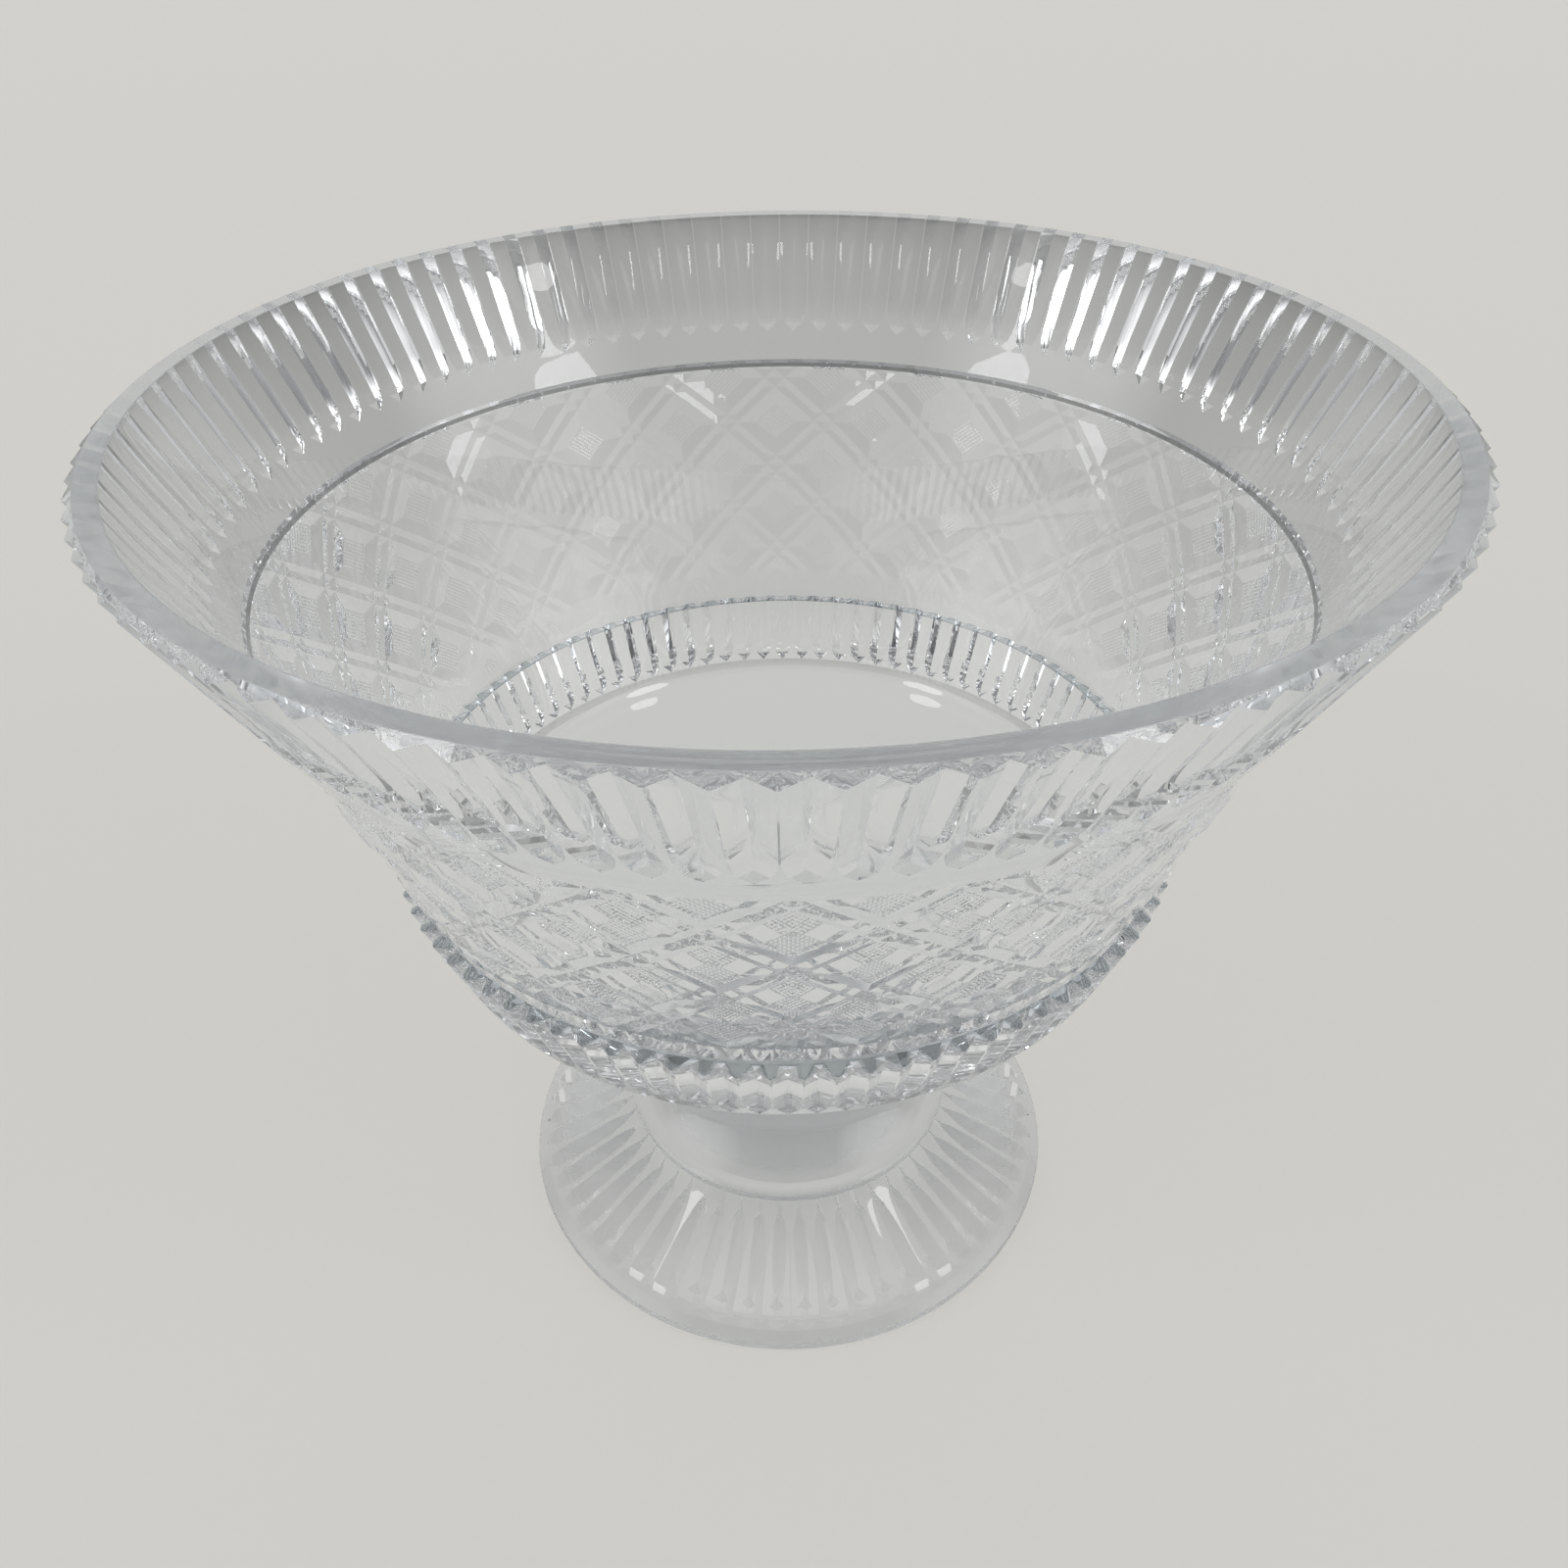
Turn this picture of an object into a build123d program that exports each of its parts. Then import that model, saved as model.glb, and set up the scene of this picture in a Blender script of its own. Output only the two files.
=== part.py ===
"""Two-part cut-crystal punch bowl: a flared bowl whose ground peg drops into a footed stand.

Millimetres, +Z up. The origin is on the surface that the stand rests on, under its centre.
"""
from build123d import *
import os
from math import pi

# ---------------------------------------------------------------- driving dimensions
RIM_RADIUS = 152.5            # outer edge of the polished rim: a 12 inch bowl
TOTAL_HEIGHT = 269.5          # table to rim

# heights above the table of the bands cut round the bowl, from the top down
RIM_Z = TOTAL_HEIGHT
BEVEL_Z = RIM_Z - 1.9         # foot of the rim's outer bevel
COLLAR_TOP_Z = RIM_Z - 34.5   # the long flutes stop here, on a plain collar
COLLAR_BOTTOM_Z = RIM_Z - 43.8
LATTICE_TOP_Z = COLLAR_BOTTOM_Z - 0.8
LATTICE_BOTTOM_Z = RIM_Z - 114.6
LEDGE_Z = RIM_Z - 117.4       # horizontal ledge over the short flutes
BAND_BOTTOM_Z = RIM_Z - 139.2

# outer radii at those heights
RIM_WALL = 4.9                # flat polished top of the rim
BEVEL_RADIUS = 155.0
COLLAR_TOP_RADIUS = 137.9
COLLAR_BOTTOM_RADIUS = 132.7
LATTICE_TOP_RADIUS = 131.2
LATTICE_BOTTOM_RADIUS = 106.8
GROOVE_RADIUS = 105.2         # root of the ring groove over the ledge
LEDGE_RADIUS = 109.6
BAND_BOTTOM_RADIUS = 101.6

# inside of the bowl, smooth: radius at a height
INNER_RADII = ((145.6, RIM_Z - 5.0), (127.0, COLLAR_BOTTOM_Z), (97.0, LEDGE_Z - 6.0))
FLOOR_Z = RIM_Z - 150.0       # deepest point of the inside
FLOOR_RADIUS = 62.0           # where the floor starts to turn up into the wall
FLOOR_RISE = 2.0              # how much higher the floor is there
INSIDE_TANGENTS = ((1, 0.05), (0.45, 1))      # (radius, z) directions at the floor and at the rim

# underside of the bowl and its peg
UNDERSIDE_Z = 103.0           # flat ground seat under the bowl
SEAT_RADIUS = 41.0
PEG_RADIUS = 20.0
PEG_LENGTH = 26.0
PEG_CHAMFER = 1.5
UNDERSIDE_TANGENTS = ((-0.9, -0.6), (-1, 0))  # under the short flutes, and at the seat

# stand
SOCKET_CLEARANCE = 0.3
SOCKET_DEPTH = 28.0
STEM_TOP_Z = UNDERSIDE_Z      # the bowl's ground seat rests on the stem's top
STEM_TOP_RADIUS = 44.0
STEM_NECK_RADIUS = 35.5
STEM_NECK_Z = 62.0
STEM_FOOT_RADIUS = 46.0
STEM_TANGENTS = ((-0.75, 0.65), (0.65, 0.75)) # at the stem's foot and at its top
MERESE_RADIUS = 53.7          # sharp glass ring between stem and foot
MERESE_TOP_Z = 31.0
MERESE_BOTTOM_Z = 26.5
MERESE_EDGE = 2.2             # how far the merese's sharp edge stands out
MERESE_FILLET = 1.2
FOOT_TOP_RADIUS = MERESE_RADIUS - MERESE_EDGE
FOOT_RADIUS = 87.7
FOOT_EDGE_LOW_Z = 2.0         # the foot's upright edge, from low to high
FOOT_EDGE_HIGH_Z = 4.4
FOOT_EDGE_TOP_Z = 7.2
FOOT_EDGE_TOP_RADIUS = 85.0
GROUND_RING_OUTER = 85.5      # ring that stands on the table
GROUND_RING_INNER = 78.0
FOOT_DOME_HEIGHT = 9.0        # hollow under the foot
FOOT_TANGENTS = ((1, -0.75), (1, -0.45))      # under the merese, and at the foot's edge
DOME_TANGENTS = ((-1, 0.45), (-1, 0))         # at the ground ring, and at the centre

# cuts: how many go round, how deep, and what share of their pitch a groove takes at full depth
RIM_FLUTES = 100
RIM_FLUTE_DEPTH = 2.4
RIM_FLUTE_SHARE = 0.98
BAND_FLUTES = 92
BAND_FLUTE_DEPTH = 2.2
BAND_FLUTE_SHARE = 0.97
FOOT_FLUTES = 56
FOOT_FLUTE_DEPTH = 2.4
FOOT_FLUTE_SHARE = 0.8

# how far a cutter's run goes, as shares of the band's height, 0 at its bottom and 1 at its top
RIM_CUT_END = 1.5
BAND_CUT_START = -0.2
BAND_CUT_END = 1.08
CUTTER_PROUD = 3.0            # how far a cutter stands out of the glass, to clear it


def groove_cutter(start, end, half_width, depth):
    """Triangular cutter whose lower edge runs from start to end, both (radius, z) in the XZ plane.

    half_width is half the groove's width at its full depth.
    """
    along = Vector(end[0] - start[0], 0, end[1] - start[1])
    outward = Vector(along.Z, 0, -along.X).normalized()
    if outward.X < 0:
        outward = -outward
    side = half_width / depth * (depth + CUTTER_PROUD)
    with BuildPart() as cutter:
        with BuildSketch(Plane(origin=(start[0], 0, start[1]), x_dir=outward, z_dir=along)):
            with BuildLine():
                Polyline((0, 0), (depth + CUTTER_PROUD, side), (depth + CUTTER_PROUD, -side), close=True)
            make_face()
        extrude(amount=along.length)
    return cutter.part


def point_between(start, end, share):
    """Point at a share of the way from start to end, each (radius, z)."""
    return (start[0] + (end[0] - start[0]) * share, start[1] + (end[1] - start[1]) * share)


# ---------------------------------------------------------------- bowl
rim_root_low = (COLLAR_TOP_RADIUS, COLLAR_TOP_Z)
rim_root_high = (BEVEL_RADIUS - RIM_FLUTE_DEPTH, BEVEL_Z)
rim_cutter = groove_cutter(
    rim_root_low,
    point_between(rim_root_low, rim_root_high, RIM_CUT_END),
    pi * BEVEL_RADIUS / RIM_FLUTES * RIM_FLUTE_SHARE,
    RIM_FLUTE_DEPTH,
)
band_root_low = (BAND_BOTTOM_RADIUS - BAND_FLUTE_DEPTH, BAND_BOTTOM_Z)
band_root_high = (LEDGE_RADIUS - BAND_FLUTE_DEPTH, LEDGE_Z)
band_cutter = groove_cutter(
    point_between(band_root_low, band_root_high, BAND_CUT_START),
    point_between(band_root_low, band_root_high, BAND_CUT_END),
    pi * BAND_BOTTOM_RADIUS / BAND_FLUTES * BAND_FLUTE_SHARE,
    BAND_FLUTE_DEPTH,
)

with BuildPart() as bowl:
    with BuildSketch(Plane.XZ):
        with BuildLine():
            Polyline(
                (RIM_RADIUS - RIM_WALL, RIM_Z),
                (RIM_RADIUS, RIM_Z),
                (BEVEL_RADIUS, BEVEL_Z),
                (COLLAR_TOP_RADIUS, COLLAR_TOP_Z),
                (COLLAR_BOTTOM_RADIUS, COLLAR_BOTTOM_Z),
                (LATTICE_TOP_RADIUS, LATTICE_TOP_Z),
                (LATTICE_BOTTOM_RADIUS, LATTICE_BOTTOM_Z),
                (GROOVE_RADIUS, LEDGE_Z),
                (LEDGE_RADIUS, LEDGE_Z),
                (BAND_BOTTOM_RADIUS, BAND_BOTTOM_Z),
            )
            Spline(
                (BAND_BOTTOM_RADIUS, BAND_BOTTOM_Z),
                (SEAT_RADIUS, UNDERSIDE_Z),
                tangents=UNDERSIDE_TANGENTS,
            )
            Line((SEAT_RADIUS, UNDERSIDE_Z), (0, UNDERSIDE_Z))
            Line((0, UNDERSIDE_Z), (0, FLOOR_Z))
            Line((0, FLOOR_Z), (FLOOR_RADIUS, FLOOR_Z + FLOOR_RISE))
            Spline(
                (FLOOR_RADIUS, FLOOR_Z + FLOOR_RISE),
                INNER_RADII[2],
                INNER_RADII[1],
                INNER_RADII[0],
                (RIM_RADIUS - RIM_WALL, RIM_Z),
                tangents=INSIDE_TANGENTS,
            )
        make_face()
    revolve(axis=Axis.Z)
    with PolarLocations(0, RIM_FLUTES):
        add(rim_cutter, mode=Mode.SUBTRACT)
    with PolarLocations(0, BAND_FLUTES):
        add(band_cutter, mode=Mode.SUBTRACT)
bowl.part.label = "bowl"

# ---------------------------------------------------------------- peg under the bowl
with BuildPart() as bowl_peg:
    with BuildSketch(Plane.XY.offset(UNDERSIDE_Z)):
        Circle(PEG_RADIUS)
    extrude(amount=-PEG_LENGTH)
    chamfer(bowl_peg.edges().group_by(Axis.Z)[0], length=PEG_CHAMFER)
bowl_peg.part.label = "bowl_peg"

# ---------------------------------------------------------------- stem with the peg's socket
with BuildPart() as stem:
    with BuildSketch(Plane.XZ):
        with BuildLine():
            Line((0, MERESE_TOP_Z), (STEM_FOOT_RADIUS, MERESE_TOP_Z))
            Spline(
                (STEM_FOOT_RADIUS, MERESE_TOP_Z),
                (STEM_NECK_RADIUS, STEM_NECK_Z),
                (STEM_TOP_RADIUS, STEM_TOP_Z),
                tangents=STEM_TANGENTS,
            )
            Line((STEM_TOP_RADIUS, STEM_TOP_Z), (0, STEM_TOP_Z))
            Line((0, STEM_TOP_Z), (0, MERESE_TOP_Z))
        make_face()
    revolve(axis=Axis.Z)
    with Locations((0, 0, STEM_TOP_Z)):
        Hole(PEG_RADIUS + SOCKET_CLEARANCE, depth=SOCKET_DEPTH)
stem.part.label = "stem"

# ---------------------------------------------------------------- merese, the ring under the stem
with BuildPart() as merese:
    with BuildSketch(Plane.XZ):
        with BuildLine():
            Polyline(
                (0, MERESE_BOTTOM_Z),
                (MERESE_RADIUS - MERESE_EDGE, MERESE_BOTTOM_Z),
                (MERESE_RADIUS, (MERESE_BOTTOM_Z + MERESE_TOP_Z) / 2),
                (MERESE_RADIUS - MERESE_EDGE, MERESE_TOP_Z),
                (0, MERESE_TOP_Z),
                close=True,
            )
        make_face()
    revolve(axis=Axis.Z)
    fillet(merese.edges().filter_by(GeomType.CIRCLE).sort_by(SortBy.RADIUS)[-1], radius=MERESE_FILLET)
merese.part.label = "merese"

# ---------------------------------------------------------------- foot
foot_cutter = groove_cutter(
    (FOOT_TOP_RADIUS, MERESE_BOTTOM_Z),
    (FOOT_RADIUS + CUTTER_PROUD, FOOT_EDGE_TOP_Z - FOOT_FLUTE_DEPTH),
    pi * FOOT_EDGE_TOP_RADIUS / FOOT_FLUTES * FOOT_FLUTE_SHARE,
    FOOT_FLUTE_DEPTH,
)
with BuildPart() as foot:
    with BuildSketch(Plane.XZ):
        with BuildLine():
            Line((0, MERESE_BOTTOM_Z), (FOOT_TOP_RADIUS, MERESE_BOTTOM_Z))
            Spline(
                (FOOT_TOP_RADIUS, MERESE_BOTTOM_Z),
                (FOOT_EDGE_TOP_RADIUS, FOOT_EDGE_TOP_Z),
                tangents=FOOT_TANGENTS,
            )
            Polyline(
                (FOOT_EDGE_TOP_RADIUS, FOOT_EDGE_TOP_Z),
                (FOOT_RADIUS, FOOT_EDGE_HIGH_Z),
                (FOOT_RADIUS, FOOT_EDGE_LOW_Z),
                (GROUND_RING_OUTER, 0),
                (GROUND_RING_INNER, 0),
            )
            Spline(
                (GROUND_RING_INNER, 0),
                (0, FOOT_DOME_HEIGHT),
                tangents=DOME_TANGENTS,
            )
            Line((0, FOOT_DOME_HEIGHT), (0, MERESE_BOTTOM_Z))
        make_face()
    revolve(axis=Axis.Z)
    with PolarLocations(0, FOOT_FLUTES):
        add(foot_cutter, mode=Mode.SUBTRACT)
foot.part.label = "foot"

# ---------------------------------------------------------------- one STEP file per piece
os.makedirs("parts", exist_ok=True)
for piece in (bowl, bowl_peg, stem, merese, foot):
    export_step(piece.part, f"parts/{piece.part.label}.step")
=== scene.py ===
# %% [markdown]
# # A cut-crystal punch bowl on its stand
# Two pieces of clear lead crystal: a flared bowl, cut all round on the outside and smooth inside, and
# a fluted pedestal that it lifts off. The CAD frame gives their places and sizes. This script gives
# them the cuts that a glass cutter makes, the glass itself, and a soft studio to stand in.

# %% Load the frame
from math import atan2, cos, degrees, radians, sin, tau

import bmesh
import bpy
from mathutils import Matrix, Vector


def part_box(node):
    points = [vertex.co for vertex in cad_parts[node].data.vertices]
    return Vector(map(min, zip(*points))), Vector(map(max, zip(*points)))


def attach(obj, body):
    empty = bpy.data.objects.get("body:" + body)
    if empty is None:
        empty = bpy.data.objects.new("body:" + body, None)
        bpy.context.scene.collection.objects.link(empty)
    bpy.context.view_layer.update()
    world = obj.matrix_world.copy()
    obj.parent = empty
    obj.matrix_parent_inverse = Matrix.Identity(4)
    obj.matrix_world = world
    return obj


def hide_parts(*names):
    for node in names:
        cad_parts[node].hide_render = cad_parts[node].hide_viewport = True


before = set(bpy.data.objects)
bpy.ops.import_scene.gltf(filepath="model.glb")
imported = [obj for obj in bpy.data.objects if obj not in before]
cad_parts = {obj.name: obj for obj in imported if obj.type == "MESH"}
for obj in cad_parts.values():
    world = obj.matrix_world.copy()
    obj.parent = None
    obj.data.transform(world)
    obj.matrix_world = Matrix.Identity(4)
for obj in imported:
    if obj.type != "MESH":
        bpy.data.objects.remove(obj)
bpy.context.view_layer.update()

# %% [markdown]
# Every size below is a cutter's size: how high above the table a band starts, how wide it is, and how
# many cuts go round it. They are written in millimetres and turned to metres once, by MM.

# %% Sizes of the bowl
MM = 0.001
RIM_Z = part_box("bowl")[1].z   # top of the bowl's own box
RIM_OUTER = 152.5 * MM
RIM_INNER = RIM_OUTER - 4.9 * MM
BEVEL_RADIUS, BEVEL_Z = 155.0 * MM, RIM_Z - 1.9 * MM
COLLAR_TOP_RADIUS, COLLAR_TOP_Z = 137.9 * MM, RIM_Z - 34.5 * MM
COLLAR_BOTTOM_RADIUS, COLLAR_BOTTOM_Z = 132.7 * MM, RIM_Z - 43.8 * MM
LATTICE_TOP_RADIUS, LATTICE_TOP_Z = 131.2 * MM, RIM_Z - 44.6 * MM
LATTICE_END_RADIUS, LATTICE_END_Z = 108.2 * MM, RIM_Z - 110.5 * MM
GROOVE_TOP_RADIUS, GROOVE_TOP_Z = 106.8 * MM, RIM_Z - 114.6 * MM
GROOVE_RADIUS = 105.2 * MM
LEDGE_RADIUS, LEDGE_Z = 109.6 * MM, RIM_Z - 117.4 * MM
BAND_BOTTOM_RADIUS, BAND_BOTTOM_Z = 101.6 * MM, RIM_Z - 139.2 * MM
SEAT_RADIUS, SEAT_Z = 41.0 * MM, 103.0 * MM
PEG_RADIUS, PEG_Z = 20.0 * MM, 77.0 * MM
FLOOR_RADIUS, FLOOR_Z = 62.0 * MM, RIM_Z - 148.0 * MM

ROUND_COLUMNS = 240           # facets round a plain turned surface: 1.5 degrees each
print(f"bowl: {RIM_Z / MM:.1f} mm high, {2 * BEVEL_RADIUS / MM:.1f} mm across")

# %% [markdown]
# ## Building node trees
# Both the cuts and the glass are node trees made in code. One small function adds a node, sets its
# options, and fills or links its inputs, so that each tree reads from top to bottom like a recipe.


# %% One function for every node
def add_node(tree, kind, inputs=(), output=0, **settings):
    """Adds a node with its settings and returns one of its outputs.

    inputs are values or other nodes' outputs, in the node's own order (None skips one) or by name.
    """
    made = tree.nodes.new(kind)
    for name, value in settings.items():
        setattr(made, name, value)
    for key, value in inputs.items() if isinstance(inputs, dict) else enumerate(inputs):
        if isinstance(value, bpy.types.NodeSocket):
            tree.links.new(value, made.inputs[key])
        elif value is not None:
            made.inputs[key].default_value = value
    return made.outputs[output] if made.outputs else None


def new_geometry_tree(name, sizes):
    """An empty geometry tree with a geometry input, and one named input per entry of sizes."""
    tree = bpy.data.node_groups.new(name, "GeometryNodeTree")
    tree.interface.new_socket("Geometry", in_out="INPUT", socket_type="NodeSocketGeometry")
    for size_name, size_type in sizes.items():
        tree.interface.new_socket(size_name, in_out="INPUT", socket_type=size_type)
    tree.interface.new_socket("Geometry", in_out="OUTPUT", socket_type="NodeSocketGeometry")
    return tree


def evaluate_tree(tree, mesh, values):
    """Runs a tree over a mesh with the named values and gives back the finished plain mesh."""
    holder = bpy.data.objects.new(tree.name, mesh)
    bpy.context.scene.collection.objects.link(holder)
    modifier = holder.modifiers.new(tree.name, "NODES")
    modifier.node_group = tree
    for item in tree.interface.items_tree:
        if item.in_out == "INPUT" and item.name in values:
            modifier[item.identifier] = values[item.name]
    bpy.context.view_layer.update()
    evaluated = holder.evaluated_get(bpy.context.evaluated_depsgraph_get())
    finished = bpy.data.meshes.new_from_object(evaluated)
    holder.modifiers.clear()
    bpy.data.objects.remove(holder)
    print(tree.name, "baked:", len(finished.polygons), "faces")
    return finished


# %% [markdown]
# ## A band of flutes
# A flute is a straight V cut made by pressing the glass on a mitred stone wheel. Where the wheel
# leaves the glass, the cut gets shallower and narrower together, so its end is an arch and the
# uncut ridge beside it widens to a triangle. The tree draws four lines of points for each flute:
# the ridge, the groove's two edges and its root. A modelled V per flute and a mirror or array
# would also do, but here the spacing, depth and run-out stay live numbers that three bands share.

# %% The flute band's named sizes
FLUTE_SIZES = {
    "Flutes": "NodeSocketInt",
    "Rows": "NodeSocketInt",
    "Top Radius": "NodeSocketFloat",
    "Top Height": "NodeSocketFloat",
    "Bottom Radius": "NodeSocketFloat",
    "Bottom Height": "NodeSocketFloat",
    "Belly": "NodeSocketFloat",
    "Depth": "NodeSocketFloat",
    "Ridge Share": "NodeSocketFloat",
    "Lead": "NodeSocketFloat",
    "Cut Begins": "NodeSocketFloat",
    "Full From": "NodeSocketFloat",
    "Full To": "NodeSocketFloat",
    "Cut Ends": "NodeSocketFloat",
    "Start Angle": "NodeSocketFloat",
    "Material": "NodeSocketMaterial",
}
print("a flute band has", len(FLUTE_SIZES), "named sizes")


# %% The flute band tree
def build_flute_tree():
    """Makes a conical band of V flutes from its named sizes; it needs no input geometry."""
    tree = new_geometry_tree("flute_band", FLUTE_SIZES)
    size = add_node(tree, "NodeGroupInput").node.outputs
    steps = add_node(tree, "ShaderNodeMath", (size["Flutes"], 4.0), operation="MULTIPLY")
    columns = add_node(tree, "ShaderNodeMath", (steps, 1.0), operation="ADD")
    net = add_node(tree, "GeometryNodeMeshGrid", (1.0, 1.0, columns, size["Rows"]))
    position = add_node(tree, "GeometryNodeInputPosition")
    place = add_node(tree, "ShaderNodeSeparateXYZ", (position,)).node.outputs

    # which of the four lines a point is on: 0 ridge, 1 and 3 the groove's edges, 2 its root
    across = add_node(tree, "ShaderNodeMath", (place["X"], 0.5), operation="ADD")
    line_share = add_node(tree, "ShaderNodeMath", (across, steps), operation="MULTIPLY")
    line = add_node(tree, "ShaderNodeMath", (line_share,), operation="ROUND")
    side = add_node(tree, "ShaderNodeMath", (line, 4.0), operation="MODULO")
    first_line = add_node(tree, "ShaderNodeMath", (line, side), operation="SUBTRACT")
    flute = add_node(tree, "ShaderNodeMath", (first_line, 4.0), operation="DIVIDE")
    is_cut = add_node(tree, "ShaderNodeMath", (side, 0.5), operation="GREATER_THAN")
    from_root = add_node(tree, "ShaderNodeMath", (side, 2.0), operation="SUBTRACT")
    is_root = add_node(tree, "ShaderNodeMath", (side, 2.0, 0.5), operation="COMPARE")

    # how fully the wheel is in the glass, down the band
    down = add_node(tree, "ShaderNodeMath", (0.5, place["Y"]), operation="SUBTRACT")
    entering = add_node(tree, "ShaderNodeMapRange", (down, size["Cut Begins"], size["Full From"]))
    leaving = add_node(tree, "ShaderNodeMapRange", (down, size["Cut Ends"], size["Full To"]))
    share = add_node(tree, "ShaderNodeMath", (entering, leaving), operation="MINIMUM")
    remaining = add_node(tree, "ShaderNodeMath", (2.0, share), operation="SUBTRACT")
    arc = add_node(tree, "ShaderNodeMath", (share, remaining), operation="MULTIPLY")
    wheel = add_node(tree, "ShaderNodeMath", (arc,), operation="SQRT")

    # the angle round the axis: a groove's edges close in on its root as the wheel leaves
    open_share = add_node(tree, "ShaderNodeMath", (1.0, size["Ridge Share"]), operation="SUBTRACT")
    open_half = add_node(tree, "ShaderNodeMath", (open_share, 0.5), operation="MULTIPLY")
    half_width = add_node(tree, "ShaderNodeMath", (wheel, open_half), operation="MULTIPLY")
    shifted = add_node(tree, "ShaderNodeMath", (from_root, half_width, 0.5), operation="MULTIPLY_ADD")
    count = add_node(tree, "ShaderNodeMath", (shifted, is_cut, flute), operation="MULTIPLY_ADD")
    turns = add_node(tree, "ShaderNodeMath", (count, size["Flutes"]), operation="DIVIDE")
    angle = add_node(tree, "ShaderNodeMath", (turns, tau, size["Start Angle"]), operation="MULTIPLY_ADD")

    # in the first row only, the root runs up the bevel ahead of the ridges
    is_first = add_node(tree, "ShaderNodeMath", (down, 0.001), operation="LESS_THAN")
    leads = add_node(tree, "ShaderNodeMath", (is_first, is_root), operation="MULTIPLY")
    lead = add_node(tree, "ShaderNodeMath", (leads, size["Lead"]), operation="MULTIPLY")
    along = add_node(tree, "ShaderNodeMath", (down, lead), operation="SUBTRACT")

    # the uncut cone's side in the XZ plane, and how far a point stands inside or outside it
    start = add_node(tree, "ShaderNodeCombineXYZ", (size["Top Radius"], 0.0, size["Top Height"]))
    end = add_node(tree, "ShaderNodeCombineXYZ", (size["Bottom Radius"], 0.0, size["Bottom Height"]))
    slant = add_node(tree, "ShaderNodeVectorMath", (end, start), operation="SUBTRACT")
    sideways = add_node(tree, "ShaderNodeVectorMath", (slant, (0, 1, 0)), operation="CROSS_PRODUCT")
    outward = add_node(tree, "ShaderNodeVectorMath", (sideways,), operation="NORMALIZE")
    on_cone = add_node(tree, "ShaderNodeVectorMath", (slant, along, start), operation="MULTIPLY_ADD")
    up = add_node(tree, "ShaderNodeMath", (1.0, down), operation="SUBTRACT")
    hump = add_node(tree, "ShaderNodeMath", (down, up), operation="MULTIPLY")
    hump_4 = add_node(tree, "ShaderNodeMath", (hump, 4.0), operation="MULTIPLY")
    belly = add_node(tree, "ShaderNodeMath", (hump_4, size["Belly"]), operation="MULTIPLY")
    full_cut = add_node(tree, "ShaderNodeMath", (is_root, size["Depth"]), operation="MULTIPLY")
    cut = add_node(tree, "ShaderNodeMath", (wheel, full_cut), operation="MULTIPLY")
    stand_out = add_node(tree, "ShaderNodeMath", (belly, cut), operation="SUBTRACT")
    profile = add_node(tree, "ShaderNodeVectorMath", (outward, stand_out, on_cone), operation="MULTIPLY_ADD")

    turned = {"Vector": profile, "Angle": angle}
    wrapped = add_node(tree, "ShaderNodeVectorRotate", turned, rotation_type="Z_AXIS")
    band = add_node(tree, "GeometryNodeSetPosition", {"Geometry": net, "Position": wrapped})
    real = add_node(tree, "GeometryNodeRealizeInstances", (band,))
    painted = add_node(tree, "GeometryNodeSetMaterial", {"Geometry": real, "Material": size["Material"]})
    add_node(tree, "NodeGroupOutput", (painted,))
    return tree


flute_tree = build_flute_tree()
print("flute tree:", len(flute_tree.nodes), "nodes")

# %% [markdown]
# ## The lattice
# The widest band is cut on the slant, both ways, with pairs of V cuts side by side. Where the pairs
# miss each other, a diamond of glass is left standing, and the cutter crosses it with fine close
# lines, which makes the frosty fields between the bright bars. Every edge of this pattern lies
# on a diagonal, so the blank is a flat net of squares, each split by both its diagonals: the cuts
# then fold exactly along the net's edges. Only the standing diamonds are divided finely.

# %% Sizes of the lattice
LATTICE_REPEATS = 24          # diamonds round the bowl, 30 mm apart
LATTICE_LOW, LATTICE_HIGH = -0.4, 2.1    # height of the band, counted in diamonds
NET_STEPS = 10                # squares of the net in one diamond
CUT_OFFSET = 0.1              # from the middle of a pair to the root of each of its two cuts
CUT_EDGE = 0.3                # from the middle of a pair to the edge of the standing diamond
CUT_DEPTH = 0.9 * MM
HATCH_PITCH = 0.05            # fine lines across a standing diamond, 1.1 mm apart
HATCH_DEPTH = 0.13 * MM
print("lattice:", LATTICE_REPEATS, "diamonds round,", LATTICE_HIGH - LATTICE_LOW, "up")


# %% The lattice's blank
def lattice_blank():
    """Flat net for the lattice: X counts diamonds round the bowl, Y counts them up the band."""
    steps_round = LATTICE_REPEATS * NET_STEPS
    steps_up = round((LATTICE_HIGH - LATTICE_LOW) * NET_STEPS)
    net = bmesh.new()
    corners = [
        [net.verts.new((i / NET_STEPS, LATTICE_LOW + j / NET_STEPS, 0)) for i in range(steps_round + 1)]
        for j in range(steps_up + 1)
    ]
    for j in range(steps_up):
        for i in range(steps_round):
            square = (corners[j][i], corners[j][i + 1], corners[j + 1][i + 1], corners[j + 1][i])
            middle = net.verts.new((square[0].co + square[2].co) / 2)
            for k in range(4):
                net.faces.new((square[k], square[(k + 1) % 4], middle))
    standing = set()
    for face in net.faces:
        centre = face.calc_center_median()
        if all(abs(s - round(s)) > CUT_EDGE for s in (centre.x + centre.y, centre.x - centre.y)):
            standing.update(face.edges)
    fine_cuts = round(2 / (HATCH_PITCH * NET_STEPS)) - 1
    bmesh.ops.subdivide_edges(net, edges=list(standing), cuts=fine_cuts, use_grid_fill=True)
    blank = bpy.data.meshes.new("lattice_blank")
    net.to_mesh(blank)
    net.free()
    print("lattice blank:", len(blank.polygons), "faces")
    return blank


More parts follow.
